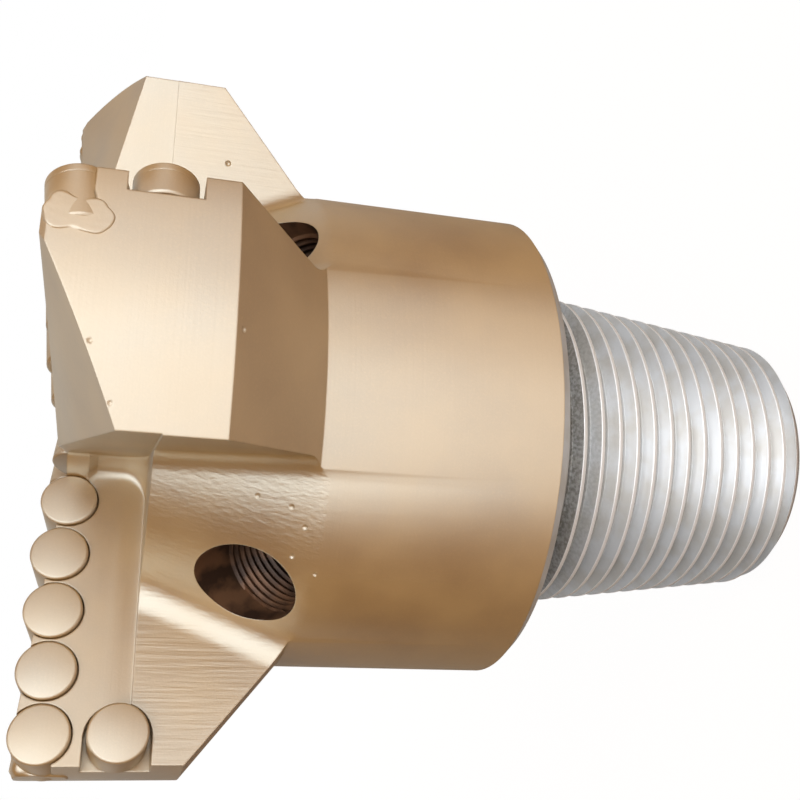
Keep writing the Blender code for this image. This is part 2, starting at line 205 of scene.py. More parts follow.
@dataclass(frozen=True)
class ThreadForm:
    """A V thread with a flat crest and a flat root, cut right-handed."""

    pitch: float
    depth: float
    crest: float
    flank_angle: float = math.radians(30.0)
    start: float = 0.0
    corner: float = 0.12 * MM
    facets: int = 96
    spare_turns: int = 2

    def ridge(self) -> list[Place]:
        """Profile of one turn.

        Returns:
            Depth below the crest and height of each corner.
        """
        flank = self.depth * math.tan(self.flank_angle)
        soft = self.corner
        root_start = self.crest + flank
        root_end = self.pitch - flank
        return [
            (0.0, soft),
            (0.0, self.crest - soft),
            (soft, self.crest + soft / 2),
            (self.depth - soft, root_start - soft / 2),
            (self.depth, root_start + soft),
            (self.depth, root_end - soft),
            (self.depth - soft, root_end + soft / 2),
            (soft, self.pitch - soft / 2),
            (0.0, self.pitch + soft),
        ]

    def rod(
        self, length: float, radius: Callable[[float], float], fade: Callable[[float], float]
    ) -> bmesh.types.BMesh:
        """A threaded rod that stands on the ground plane, closed at both ends.

        The profile is wound as a straight helix, cut off at both ends, and then every point
        is moved to the radius that the taper and the thread's run-out ask for.

        Args:
            length: Its length.
            radius: Crest radius at a height.
            fade: Share of the thread's full depth at a height.

        Returns:
            The rod.
        """
        bm = bmesh.new()
        spare = self.pitch * self.spare_turns
        lowered = spare - self.start
        straight = radius(length)
        corners = [bm.verts.new((straight - low, 0.0, high - lowered)) for low, high in self.ridge()]
        edges = [bm.edges.new(pair) for pair in zip(corners, corners[1:])]
        steps = round((length + lowered + spare) / self.pitch * self.facets)
        bmesh.ops.spin(
            bm, geom=corners + edges, cent=CENTRE, axis=AXIS, angle=math.tau / self.facets * steps,
            dvec=Vector(AXIS) * self.pitch / self.facets, steps=steps,
        )
        bmesh.ops.remove_doubles(bm, verts=bm.verts, dist=self.corner / 10)
        for side, height in ((-1.0, 0.0), (1.0, length)):
            bmesh.ops.bisect_plane(
                bm, geom=bm.verts[:] + bm.edges[:] + bm.faces[:], plane_co=(0.0, 0.0, height),
                plane_no=(0.0, 0.0, side), clear_outer=True,
            )
        for vert in bm.verts:
            low = straight - vert.co.xy.length
            wanted = radius(vert.co.z) - low * fade(vert.co.z)
            vert.co.xy *= wanted / (straight - low)
        rim = [edge for edge in bm.edges if edge.is_boundary]
        bmesh.ops.holes_fill(bm, edges=rim, sides=0)
        bmesh.ops.recalc_face_normals(bm, faces=bm.faces)
        return bm


# The pin's rotary shouldered thread, five turns to the inch.
PIN_THREAD = ThreadForm(pitch=5.08 * MM, depth=2.99 * MM, crest=1.02 * MM, start=3.34 * MM)
# The nozzles' thread, tapped into the bottom of each socket.
SOCKET_THREAD = ThreadForm(
    pitch=1.8 * MM, depth=0.8 * MM, crest=0.6 * MM, facets=64, corner=0.05 * MM
)


@dataclass(frozen=True)
class GoldPaint:
    """Bronze-powder spray paint over turned and milled steel.

    The powder's flakes lie flat, so the eye sees the ochre of the pigment with a broad, pale
    sheen on top, drawn out across the tool marks. Overspray makes the paint grainy, and it
    is worn round at the edges. The flakes reflect far more than clear paint does, which is
    why the index of refraction is so high. Powder grains and feed marks are finer than the
    render can show, so both are drawn two to five times as coarse.
    """

    name: str = "bronze_powder_paint"
    marks: Marks = Marks.TURNED
    thick: str = "A4783E"
    thin: str = "926631"
    dusted: str = "B0844C"
    sheen: str = "F6FFF8"
    cloud_size: float = 22 * MM
    thin_until: float = 0.34
    thick_from: float = 0.62
    grain_size: float = 0.5 * MM
    grain_height: float = 0.015 * MM
    dust_from: float = 0.5
    dust_full: float = 0.8
    dust_share: float = 0.45
    mark_size: float = 0.9 * MM
    mark_height: float = 0.013 * MM
    streak_size: float = 1.0 * MM
    streak_height: float = 0.09 * MM
    streak_shares: Point = (1.0, 1.0, 0.06)
    streak_lean: Point = (math.radians(12.0), math.radians(-9.0), 0.0)
    edge_radius: float = 0.5 * MM
    smooth_until: float = 0.3
    rough_from: float = 0.7
    least_rough: float = 0.43
    most_rough: float = 0.49
    flake_index: float = 4.1
    drawn_out: float = 0.6
    drawn_turn: float = 0.25

    def tool_marks(
        self, tree: bpy.types.NodeTree, place: bpy.types.NodeSocket
    ) -> tuple[bpy.types.Node, float]:
        """Marks of the lathe or of the milling cutter.

        Args:
            tree: The material's node tree.
            place: Object coordinates.

        Returns:
            The marks and their height.
        """
        if self.marks is Marks.TURNED:
            height = add(tree, "SeparateXYZ", Vector=place).outputs["Z"]
            rings = add(
                tree, "TexNoise", {"noise_dimensions": "1D"}, W=height, Scale=1 / self.mark_size,
                Detail=SOFT,
            )
            return rings, self.mark_height
        drawn = add(
            tree, "Mapping", Vector=place, Rotation=self.streak_lean, Scale=self.streak_shares
        )
        streaks = add(
            tree, "TexNoise", Vector=drawn.outputs[0], Scale=1 / self.streak_size, Detail=PLAIN
        )
        return streaks, self.streak_height

    def build(self) -> bpy.types.Material:
        """Make the material.

        Returns:
            The material.
        """
        material, shader = new_material(self.name)
        tree = material.node_tree
        place = add(tree, "TexCoord").outputs["Object"]
        clouds = add(tree, "TexNoise", Vector=place, Scale=1 / self.cloud_size, Detail=ROUGH)
        grain = add(tree, "TexNoise", Vector=place, Scale=1 / self.grain_size, Detail=PLAIN)
        cover = add(
            tree, "MapRange", Value=clouds.outputs[0], From_Min=self.thin_until,
            From_Max=self.thick_from,
        )
        tone = add(
            tree, "Mix", {"data_type": "RGBA"}, Factor=cover.outputs["Result"],
            in_6=linear(self.thin), in_7=linear(self.thick),
        )
        dust = add(
            tree, "MapRange", Value=grain.outputs[0], From_Min=self.dust_from,
            From_Max=self.dust_full, To_Max=self.dust_share,
        )
        colour = add(
            tree, "Mix", {"data_type": "RGBA"}, Factor=dust.outputs["Result"],
            in_6=tone.outputs[2], in_7=linear(self.dusted),
        )
        rough = add(
            tree, "MapRange", Value=clouds.outputs[0], From_Min=self.smooth_until,
            From_Max=self.rough_from, To_Min=self.least_rough, To_Max=self.most_rough,
        )
        # The rounded normal makes edges catch the light as thick paint and wear do.
        worn = add(tree, "Bevel", {"samples": EDGE_SAMPLES}, Radius=self.edge_radius)
        marks, mark_height = self.tool_marks(tree, place)
        marked = add(
            tree, "Bump", Height=marks.outputs[0], Strength=1.0, Distance=mark_height,
            Normal=worn.outputs["Normal"],
        )
        grainy = add(
            tree, "Bump", Height=grain.outputs[0], Strength=1.0, Distance=self.grain_height,
            Normal=marked.outputs["Normal"],
        )
        # The sheen is drawn out across marks that run round the bit's axis.
        around = add(tree, "Tangent", {"direction_type": "RADIAL", "axis": "Z"})
        tree.links.new(colour.outputs[2], shader.inputs["Base Color"])
        tree.links.new(rough.outputs["Result"], shader.inputs["Roughness"])
        tree.links.new(grainy.outputs["Normal"], shader.inputs["Normal"])
        tree.links.new(around.outputs["Tangent"], shader.inputs["Tangent"])
        shader.inputs["IOR"].default_value = self.flake_index
        shader.inputs["Specular Tint"].default_value = linear(self.sheen)
        shader.inputs["Anisotropic"].default_value = self.drawn_out
        shader.inputs["Anisotropic Rotation"].default_value = self.drawn_turn
        return material


@dataclass(frozen=True)
class TurnedSteel:
    """Machined carbon steel, bare: a soft grey shine under a dull, patchy film of oil.

    The fine rings of the lathe run round the axis. They are about a quarter of a millimetre
    apart on the real one, and are drawn twice as coarse so that they show.
    """

    name: str = "turned_steel"
    bright: str = "CDD0D3"
    film: str = "C2C1BE"
    film_size: float = 9 * MM
    film_until: float = 0.38
    bright_from: float = 0.6
    mark_size: float = 0.5 * MM
    mark_height: float = 0.02 * MM
    roughness: float = 0.46
    metallic: float = 0.5
    edge_radius: float = 0.25 * MM

    def tone(self, tree: bpy.types.NodeTree, place: bpy.types.NodeSocket) -> bpy.types.NodeSocket:
        """Colour of the steel: bare metal and patches of film.

        Args:
            tree: The material's node tree.
            place: Object coordinates.

        Returns:
            The colour.
        """
        film = add(tree, "TexNoise", Vector=place, Scale=1 / self.film_size, Detail=RAGGED)
        bare = add(
            tree, "MapRange", Value=film.outputs[0], From_Min=self.film_until,
            From_Max=self.bright_from,
        )
        return add(
            tree, "Mix", {"data_type": "RGBA"}, Factor=bare.outputs["Result"],
            in_6=linear(self.film), in_7=linear(self.bright),
        ).outputs[2]

    def build(self) -> bpy.types.Material:
        """Make the material.

        Returns:
            The material.
        """
        material, shader = new_material(self.name)
        tree = material.node_tree
        place = add(tree, "TexCoord").outputs["Object"]
        height = add(tree, "SeparateXYZ", Vector=place).outputs["Z"]
        rings = add(
            tree, "TexNoise", {"noise_dimensions": "1D"}, W=height, Scale=1 / self.mark_size,
            Detail=PLAIN,
        )
        worn = add(tree, "Bevel", {"samples": EDGE_SAMPLES}, Radius=self.edge_radius)
        bump = add(
            tree, "Bump", Height=rings.outputs[0], Strength=1.0, Distance=self.mark_height,
            Normal=worn.outputs["Normal"],
        )
        tree.links.new(self.tone(tree, place), shader.inputs["Base Color"])
        tree.links.new(bump.outputs["Normal"], shader.inputs["Normal"])
        shader.inputs["Roughness"].default_value = self.roughness
        shader.inputs["Metallic"].default_value = self.metallic
        return material


@dataclass(frozen=True)
class ThreadSteel(TurnedSteel):
    """Steel of the cut thread: painted highlights on the crests and painted shade on the flanks.

    The first grooves next to the shoulder are painted a speckled darker grey, which fades out
    towards the pin's end.
    """

    name: str = "cut_thread_steel"
    thread: ThreadForm = PIN_THREAD
    crest_end: float = 0.2
    shade_start: float = 0.80
    shade_full: float = 0.93
    shade_share: float = 0.75
    # Painted highlight on the crests and painted shade on the flanks that face the pin's end.
    painted_crest_highlight: str = "F4F5F6"
    painted_flank_shade: str = "7D7974"
    # Speckled darker grey in the grooves, strongest next to the shoulder.
    dark_groove: str = "5F5C55"
    thread_top: float = 72.2 * MM
    dark_groove_low: float = 56.0 * MM
    dark_spot_size: float = 0.9 * MM
    dark_groove_curve: float = 1.5
    dark_spot_least: float = 0.55
    spots_from: float = 0.38
    spots_full: float = 0.62

    def phase(self, tree: bpy.types.NodeTree, place: bpy.types.NodeSocket) -> bpy.types.NodeSocket:
        """How far up its turn of the thread a point lies.

        Args:
            tree: The material's node tree.
            place: Object coordinates.

        Returns:
            The share, 0 at the start of the crest and 1 at the start of the next.
        """
        parts = add(tree, "SeparateXYZ", Vector=place).outputs
        angle = add(tree, "Math", {"operation": "ARCTAN2"}, in_0=parts["Y"], in_1=parts["X"])
        turns = add(tree, "Math", {"operation": "DIVIDE"}, in_0=angle.outputs[0], in_1=math.tau)
        rise = add(tree, "Math", {"operation": "SUBTRACT"}, in_0=parts["Z"], in_1=self.thread.start)
        pitches = add(
            tree, "Math", {"operation": "DIVIDE"}, in_0=rise.outputs[0], in_1=self.thread.pitch
        )
        along = add(
            tree, "Math", {"operation": "SUBTRACT"}, in_0=pitches.outputs[0], in_1=turns.outputs[0]
        )
        return add(
            tree, "Math", {"operation": "FLOORED_MODULO"}, in_0=along.outputs[0], in_1=1.0
        ).outputs[0]

    def dark_groove_cover(self, tree: bpy.types.NodeTree, place: bpy.types.NodeSocket) -> bpy.types.NodeSocket:
        """How dark the grooves are painted: speckled, and lighter away from the shoulder.

        Args:
            tree: The material's node tree.
            place: Object coordinates.

        Returns:
            The share that it covers.
        """
        height = add(tree, "SeparateXYZ", Vector=place).outputs["Z"]
        spots = add(tree, "TexNoise", Vector=place, Scale=1 / self.dark_spot_size, Detail=ROUGH)
        spotted = add(
            tree, "MapRange", Value=spots.outputs[0], From_Min=self.spots_from,
            From_Max=self.spots_full, To_Min=self.dark_spot_least,
        )
        depth = add(tree, "MapRange", Value=height, From_Min=self.dark_groove_low, From_Max=self.thread_top)
        steep = add(
            tree, "Math", {"operation": "POWER"}, in_0=depth.outputs[0], in_1=self.dark_groove_curve
        )
        return add(
            tree, "Math", {"operation": "MULTIPLY"}, in_0=steep.outputs[0], in_1=spotted.outputs[0]
        ).outputs[0]

    def tone(self, tree: bpy.types.NodeTree, place: bpy.types.NodeSocket) -> bpy.types.NodeSocket:
        """Colour of the thread, which follows its turns, with painted highlights and painted shade.

        Args:
            tree: The material's node tree.
            place: Object coordinates.

        Returns:
            The colour.
        """
        height = add(tree, "SeparateXYZ", Vector=place).outputs["Z"]
        phase = self.phase(tree, place)
        threaded = add(tree, "Math", {"operation": "LESS_THAN"}, in_0=height, in_1=self.thread_top)
        # Painted highlight: the flat crest is painted a near-white grey.
        crest = add(tree, "Math", {"operation": "LESS_THAN"}, in_0=phase, in_1=self.crest_end)
        groove = add(tree, "Math", {"operation": "SUBTRACT"}, in_0=1.0, in_1=crest.outputs[0])
        # Painted shade on the flank that faces the pin's end, up to the next crest.
        flank = add(
            tree, "MapRange", Value=phase, From_Min=self.shade_start, From_Max=self.shade_full,
            To_Max=self.shade_share,
        )
        # The grooves are painted darker, most of all next to the shoulder.
        dark_groove = add(
            tree, "Math", {"operation": "MULTIPLY"}, in_0=self.dark_groove_cover(tree, place),
            in_1=groove.outputs[0],
        )
        colour = super().tone(tree, place)
        # Lay on the flank's painted shade, the crest's painted highlight and the darker grooves.
        for cover, tint in ((flank, self.painted_flank_shade), (crest, self.painted_crest_highlight), (dark_groove, self.dark_groove)):
            share = add(
                tree, "Math", {"operation": "MULTIPLY"}, in_0=cover.outputs[0],
                in_1=threaded.outputs[0],
            )
            colour = add(
                tree, "Mix", {"data_type": "RGBA"}, Factor=share.outputs[0], in_6=colour,
                in_7=linear(tint),
            ).outputs[2]
        return colour


@dataclass(frozen=True)
class SocketSteel:
    """Drilled and tapped steel in a nozzle socket.

    It is painted nearly black as painted shade deep in the socket, with dull brown patches where the
    spray reached in.
    """

    name: str = "socket_steel_painted_shade"
    # Nearly black painted shade, and lighter brown patches of overspray.
    painted_socket_shade: str = "3A281D"
    dusted: str = "6E4E37"
    patch_size: float = 6 * MM
    painted_shade_until: float = 0.4
    dusted_from: float = 0.62
    metallic: float = 0.4
    roughness: float = 0.45

    def build(self) -> bpy.types.Material:
        """Make the material.

        Returns:
            The material.
        """
        material, shader = new_material(self.name)
        tree = material.node_tree
        place = add(tree, "TexCoord").outputs["Object"]
        patch = add(tree, "TexNoise", Vector=place, Scale=1 / self.patch_size, Detail=RAGGED)
        spray = add(
            tree, "MapRange", Value=patch.outputs[0], From_Min=self.painted_shade_until,
            From_Max=self.dusted_from,
        )
        # The near-black tone is painted shade deep in the socket; the brown patches are overspray.
        tone = add(
            tree, "Mix", {"data_type": "RGBA"}, Factor=spray.outputs["Result"],
            in_6=linear(self.painted_socket_shade), in_7=linear(self.dusted),
        )
        tree.links.new(tone.outputs[2], shader.inputs["Base Color"])
        shader.inputs["Metallic"].default_value = self.metallic
        shader.inputs["Roughness"].default_value = self.roughness
        return material


@dataclass(frozen=True)
class FloorPaper:
    """Studio paper, which the camera sees as white with a faint shadow.

    Its own tone is a warm grey, so that the light it throws back on the bit is as dim and
    warm as in the photograph.
    """

    name: str = "studio_paper"
    tone: str = "A68B70"
    roughness: float = 0.35
    shadow_share: float = 0.12
    white: float = 1.1

    def build(self) -> bpy.types.Material:
        """Make the material.

        Returns:
            The material.
        """
        material, shader = new_material(self.name)
        tree = material.node_tree
        shader.inputs["Base Color"].default_value = linear(self.tone)
        shader.inputs["Roughness"].default_value = self.roughness
        seen = add(tree, "LightPath").outputs["Is Camera Ray"]
        share = add(
            tree, "Math", {"operation": "MULTIPLY"}, in_0=seen, in_1=1 - self.shadow_share
        )
        white = add(tree, "Emission", Color=WHITE, Strength=self.white)
        mixed = add(
            tree, "MixShader", in_0=share.outputs[0], in_1=shader.outputs[0],
            in_2=white.outputs[0],
        )
        tree.links.new(mixed.outputs[0], tree.nodes["Material Output"].inputs["Surface"])
        return material


def finish_piece(
    name: str, mesh: bpy.types.Mesh, slot: Slot, materials: Iterable[bpy.types.Material],
    *nodes: str,
) -> bpy.types.Object:
    """Put a finished mesh into the scene as a piece that rides on the bit.

    Args:
        name: Name of the piece.
        mesh: Its mesh, in place.
        slot: The record's slot that its finish stands for. It is not used.
        materials: Its materials, in order.
        nodes: CAD nodes that it stands for.

    Returns:
        The piece.
    """
    mesh.name = name
    for material in materials:
        mesh.materials.append(material)
    mesh.shade_smooth()
    mesh.set_sharp_from_angle(angle=SHARP_ANGLE)
    piece = bpy.data.objects.new(name, mesh)
    bpy.context.scene.collection.objects.link(piece)
    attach(piece, "root")
    if nodes:
        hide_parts(*nodes)
    LOG.info("%s: %d faces", name, len(mesh.polygons))
    return piece


def to_mesh(bm: bmesh.types.BMesh, name: str) -> bpy.types.Mesh:
    """Merge a bmesh's doubles, point its faces outward and turn it into a mesh.

    Args:
        bm: The bmesh, which is freed.
        name: Name of the mesh.

    Returns:
        The mesh.
    """
    bmesh.ops.remove_doubles(bm, verts=bm.verts, dist=MERGE)
    bmesh.ops.recalc_face_normals(bm, faces=bm.faces)
    mesh = bpy.data.meshes.new(name)
    bm.to_mesh(mesh)
    bm.free()
    return mesh


def turned(profile: Sequence[Place], steps: int) -> bmesh.types.BMesh:
    """Turn an outline round the axis.

    Args:
        profile: Radius and height of each corner of the outline.
        steps: Facets of the full turn.

    Returns:
        The turned shape.
    """
    bm = bmesh.new()
    corners = [bm.verts.new((radius, 0.0, height)) for radius, height in profile]
    edges = [bm.edges.new(pair) for pair in zip(corners, corners[1:])]
    bmesh.ops.spin(
        bm, geom=corners + edges, cent=CENTRE, axis=AXIS, angle=math.tau, steps=steps,
        use_merge=True,
    )
    bmesh.ops.remove_doubles(bm, verts=bm.verts, dist=MERGE)
    return bm


def arc(centre: Vector, radius: float, start: float, end: float, steps: int) -> list[Vector]:
    """Points along an arc.

    Args:
        centre: Its centre in the plane.
        radius: Its radius.
        start: Angle of its first point.
        end: Angle of its last point.
        steps: Number of stretches.

    Returns:
        The points, both ends included.
    """
    angles = [start + (end - start) * i / steps for i in range(steps + 1)]
    return [centre + radius * Vector((math.cos(angle), math.sin(angle))) for angle in angles]


def lofted(sections: Sequence[Section]) -> bmesh.types.BMesh:
    """Bridge matching outlines into a closed solid.

    Args:
        sections: Height and outline of each, from the lowest up.

    Returns:
        The solid.
    """
    bm = bmesh.new()
    loops = []
    for height, outline in sections:
        ring = [bm.verts.new((point.x, point.y, height)) for point in outline]
        loops.append([bm.edges.new((ring[i - 1], ring[i])) for i in range(len(ring))])
    for lower, upper in zip(loops, loops[1:]):
        bmesh.ops.bridge_loops(bm, edges=lower + upper)
    for loop in (loops[0], loops[-1]):
        bmesh.ops.edgeloop_fill(bm, edges=loop)
    bmesh.ops.triangulate(bm, faces=bm.faces)
    return bm


def block(low: Sequence[float], high: Sequence[float]) -> bmesh.types.BMesh:
    """The square end of a milling cut.

    Args:
        low: Its lowest corner.
        high: Its highest corner.

    Returns:
        The box between them.
    """
    bm = bmesh.new()
    bmesh.ops.create_cube(bm, size=1.0)
    bmesh.ops.scale(bm, vec=[b - a for a, b in zip(low, high)], verts=bm.verts)
    bmesh.ops.translate(bm, vec=[(a + b) / 2 for a, b in zip(low, high)], verts=bm.verts)
    return bm


def turn_copies(bm: bmesh.types.BMesh, count: int) -> None:
    """Repeat all of a bmesh at equal turns round the axis.

    Args:
        bm: The bmesh.
        count: How many there are then.
    """
    whole = bm.verts[:] + bm.edges[:] + bm.faces[:]
    bmesh.ops.spin(
        bm, geom=whole, cent=CENTRE, axis=AXIS, angle=math.tau * (count - 1) / count,
        steps=count - 1, use_duplicate=True,
    )


def applied(body: bpy.types.Object) -> bpy.types.Mesh:
    """The mesh that an object's modifiers give."""
    graph = bpy.context.evaluated_depsgraph_get()
    return bpy.data.meshes.new_from_object(body.evaluated_get(graph))


def milled(
    blank: bpy.types.Mesh, cutters: Sequence[bpy.types.Mesh], cut: Cut = Cut.AWAY
) -> bpy.types.Mesh:
    """Cut a mesh with others.

    Args:
        blank: What is cut.
        cutters: The tools, each a set of closed shapes that don't meet one another.
        cut: What is left.

    Returns:
        The cut mesh.
    """
    scene = bpy.context.scene.collection.objects
    body = bpy.data.objects.new("blank", blank)
    scene.link(body)
    tools = []
    for mesh in cutters:
        tool = bpy.data.objects.new(mesh.name, mesh)
        scene.link(tool)
        tools.append(tool)
        modifier = body.modifiers.new(mesh.name, "BOOLEAN")
        modifier.operation = cut.value
        modifier.solver = "EXACT"
        modifier.object = tool
    result = applied(body)
    for done in [body, *tools]:
        bpy.data.objects.remove(done, do_unlink=True)
    return result


@dataclass
class Bit:
    """Driving sizes of the whole bit. Heights over the shoulder are measured from it."""

    pin_length: float = 79.7 * MM
    pin_base: float = 88.9 * MM
    pin_taper_share: float = 0.25
    bore: float = 38.0 * MM
    shank: float = 123.4 * MM
    shank_length: float = 57.4 * MM
    edge_chamfer: float = 2.4 * MM
    gauge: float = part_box("bit_body")[1].x * 2
    nose: float = 116.7 * MM
    wings: int = 4

    def over(self, height: float) -> float:
        """Height over the floor of a place measured from the shoulder."""
        return self.pin_length + height

    def pin_radius(self, height: float) -> float:
        """Crest radius of the tapered pin at a height over the floor."""
        return (self.pin_base - (self.pin_length - height) * self.pin_taper_share) / 2

    def wing_turn(self, wing: int) -> Matrix:
        """Turn from the first wing to another, by its number."""
        return Matrix.Rotation((wing - 1) * math.tau / self.wings, 4, "Z")


@dataclass
class CutterSet:
    """The round cutters: carbide posts with a diamond table, painted over."""

    bit: Bit
    nose_length: float = 13.2 * MM
    gauge_length: float = 8.0 * MM
    rake: float = math.radians(6.0)
    table: float = 2.0 * MM
    table_line: float = 0.08 * MM
    chamfer: float = 0.4 * MM
    facets: int = 64
    row: int = 5
    long_wings: tuple[int, ...] = (2, 4)

    def __post_init__(self) -> None:
        """Take the radius from the frame."""
        low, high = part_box(self.node(1, CutterKind.GAUGE))
        self.radius = (high.x - low.x) / 2

    def node(self, wing: int, kind: CutterKind, number: int = 0) -> str:
        """Name of a cutter's CAD node."""
        label = "wing_%d_%s" % (wing, kind.value)
        return label + "_%d" % number if kind is CutterKind.NOSE else label

    def numbers(self, wing: int) -> list[int]:
        """Numbers of a wing's nose cutters, from the outside in."""
        return list(range(1, self.row + 1 + (wing in self.long_wings)))

    def centre(self, wing: int, kind: CutterKind, number: int = 0) -> Vector:
        """Middle of a cutter, from its CAD node."""
        low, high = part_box(self.node(wing, kind, number))
        return (low + high) / 2

    def place(self, wing: int, kind: CutterKind, number: int = 0) -> Matrix:
        """Frame of a cutter.

        Args:
            wing: Number of its wing.
            kind: Which kind it is.
            number: Its number, for a nose cutter.

        Returns:
            Its origin in the cutter's middle, its Z towards the cutter's face.
        """
        lean = self.rake if kind is CutterKind.NOSE else 0.0
        tip = Matrix.Rotation(lean - math.pi / 2, 4, "X")
        return Matrix.Translation(self.centre(wing, kind, number)) @ self.bit.wing_turn(wing) @ tip

    def profile(self, length: float) -> list[Place]:
        """Outline of a cutter, with the fine line between post and diamond table.

        Args:
            length: Length of the cutter.

        Returns:
            Its corners, from the middle of its back to the middle of its face.
        """
        r = self.radius
        front = length / 2
        seam = front - self.table
        soft = self.table_line
        return [
            (0.0, -front),
            (r - self.chamfer, -front),
            (r, -front + self.chamfer),
            (r, seam - soft),
            (r - soft, seam),
            (r, seam + soft),
            (r, front - self.chamfer),
            (r - self.chamfer + soft, front - soft / 2),
            (r - self.chamfer - soft, front),
            (0.0, front),
        ]

    def build(self, paint: bpy.types.Material) -> list[bpy.types.Object]:
        """Make every cutter in its place.

        Args:
            paint: Its material.

        Returns:
            The cutters.
        """
        made = []
        for wing in range(1, self.bit.wings + 1):
            seats = [(CutterKind.NOSE, number, self.nose_length) for number in self.numbers(wing)]
            seats.append((CutterKind.GAUGE, 0, self.gauge_length))
            for kind, number, length in seats:
                node = self.node(wing, kind, number)
                bm = turned(self.profile(length), self.facets)
                bm.transform(self.place(wing, kind, number))
                mesh = to_mesh(bm, node)
                made.append(finish_piece("dressed_" + node, mesh, Slot.CUTTER, [paint], node))
        return made


@dataclass
class Crown:
    """Shank and wings: one turned and milled body with pockets and nozzle sockets."""

    bit: Bit
    cutters: CutterSet
    facets: int = 192
    fine: int = 12
    overrun: float = 20.0 * MM
    bore_past_shoulder: float = 44.3 * MM
    bore_cone: float = 9.0 * MM
    back_slope: float = 22.5 * MM
    nose_chamfer: float = 1.2 * MM
    nose_dish: float = 7.0 * MM
    hub_thickness: float = 12.25 * MM
    spread: float = math.radians(27.0)
    land: float = 15.8 * MM
    relief_angle: float = math.radians(26.06)
    relief_start: float = 3.0 * MM
    slot_drop: float = 2.0 * MM
    slot_inset: float = 0.2 * MM
    floor_angle: float = math.radians(22.8)
    front_depth: float = 24.8 * MM
    rear_lead: float = 1.0 * MM
    lead_fillet: float = 9.0 * MM
    trail_fillet: float = 7.0 * MM
    trail_step: float = 0.3 * MM
    hub: float = 37.0 * MM
    groove: float = 33.0 * MM
    groove_length: float = 12.0 * MM
    groove_fillet: float = 6.0 * MM
    hub_fillet: float = 3.0 * MM
    nozzle: float = 22.5 * MM
    nozzle_depth: float = 24.0 * MM
    nozzle_clear: float = 7.0 * MM
    passage: float = 15.0 * MM
    passage_end: float = 13.0 * MM
    nozzle_above_shank: float = 11.9 * MM
    nozzle_tilt: float = math.radians(45.0)
    nozzle_azimuth: float = math.radians(17.8)
    seat_gap: float = 0.3 * MM
    corner_depth: float = 10.0 * MM
    corner_below: float = 2.5 * MM
    trough_end: float = 16.5 * MM
    trough_side: float = 1.0 * MM
    notch_room: float = 0.8 * MM
    dent_size: float = 0.75 * MM
    dent_lift: float = 0.5 * MM
    dent_subdivisions: int = 3
    dent_places: tuple[Point, ...] = (
        (-35.6, -81.2, 185.6), (-45.4, -76.2, 181.2), (-30.0, -81.3, 157.9), (54.9, -40.2, 157.4),
        (-41.1, -37.4, 149.2), (-44.0, -38.7, 142.0), (-47.6, -36.5, 138.8), (-51.3, -29.6, 140.5),
        (-54.7, -28.1, 135.2), (52.0, 71.9, 176.0), (62.0, -63.4, 170.0), (-61.0, 64.4, 172.5),
    )

    @property
    def skins(self) -> dict[str, Skin]:
        """Finish that each tool leaves, where it isn't the plain paint."""
        return {"rear_slots": Skin.MILLED, "sockets": Skin.BORE, "passages": Skin.BORE}

    def profile(self) -> list[Place]:
        """Outline of the blank.

        Returns:
            Its corners, from the nose down its outside and then up the bore.
        """
        bit = self.bit
        shank = bit.shank / 2
        gauge = bit.gauge / 2
        bore = bit.bore / 2
        bore_end = bit.over(self.bore_past_shoulder)
        return [
            (0.0, bit.over(bit.nose - self.nose_dish)),
            (gauge - self.nose_chamfer, bit.over(bit.nose)),
            (gauge, bit.over(bit.nose - self.nose_chamfer)),
            (gauge, bit.over(bit.shank_length + self.back_slope)),
            (shank, bit.over(bit.shank_length)),
            (shank, bit.over(bit.edge_chamfer)),
            (shank - bit.edge_chamfer, bit.pin_length),
            (bore, bit.pin_length),
            (bore, bore_end - self.bore_cone),
            (0.0, bore_end),
        ]

    def slot_section(
        self, floor: float, lead: float, thickness: float, fillets: Place
    ) -> list[Vector]:
        """Section across a junk slot whose floor is an arc round the bit's axis.

        Args:
            floor: Radius of the floor.
            lead: How far the leading face stands forward.
            thickness: How far the next wing's back stands off at the axis.
            fillets: Radii at the leading face and at that back.

        Returns:
            The outline.
        """
        reach = self.bit.gauge / 2 + self.overrun * 2
        outward = Vector((math.sin(self.spread), math.cos(self.spread)))
        away = Vector((math.cos(self.spread), -math.sin(self.spread)))
        stand_off = thickness * math.cos(self.spread)
        lead_fillet, trail_fillet = fillets
        rise = lead + lead_fillet
        first = Vector((math.sqrt((floor + lead_fillet) ** 2 - rise ** 2), rise))
        first_angle = math.atan2(first.y, first.x)
        rise = stand_off + trail_fillet
        last = away * rise + outward * math.sqrt((floor + trail_fillet) ** 2 - rise ** 2)
        last_angle = math.atan2(last.y, last.x)
        points = [Vector((reach, lead))]
        points += arc(first, lead_fillet, -math.pi / 2, first_angle - math.pi, self.fine)
        points += arc(Vector((0.0, 0.0)), floor, first_angle, last_angle, self.fine * 2)[1:-1]
        points += arc(last, trail_fillet, last_angle + math.pi, math.pi - self.spread, self.fine)
        points.append(away * stand_off + outward * reach)
        return points

    def slot_floor(self, height: float) -> float:
        """Radius of the rear floor at a height over the shoulder."""
        start = self.bit.shank_length - self.slot_drop
        return self.bit.shank / 2 - self.slot_inset - (height - start) * math.tan(self.floor_angle)

    def step(self) -> float:
        """Height over the shoulder of the step between the two passes of a slot."""
        return self.bit.nose - self.front_depth

    def rear_slots(self) -> bmesh.types.BMesh:
        """The rear passes, which rise out of the shank along a sloping floor.

        Returns:
            The first of them.
        """
        low = self.bit.shank_length - self.slot_drop - self.overrun / 2
        high = self.step() + self.seat_gap
        sections = []
        for i in range(self.fine + 1):
            height = low + (high - low) * i / self.fine
            outline = self.slot_section(
                self.slot_floor(height), self.rear_lead, self.hub_thickness,
                (self.lead_fillet, self.trail_fillet),
            )
            sections.append((self.bit.over(height), outline))
        return lofted(sections)

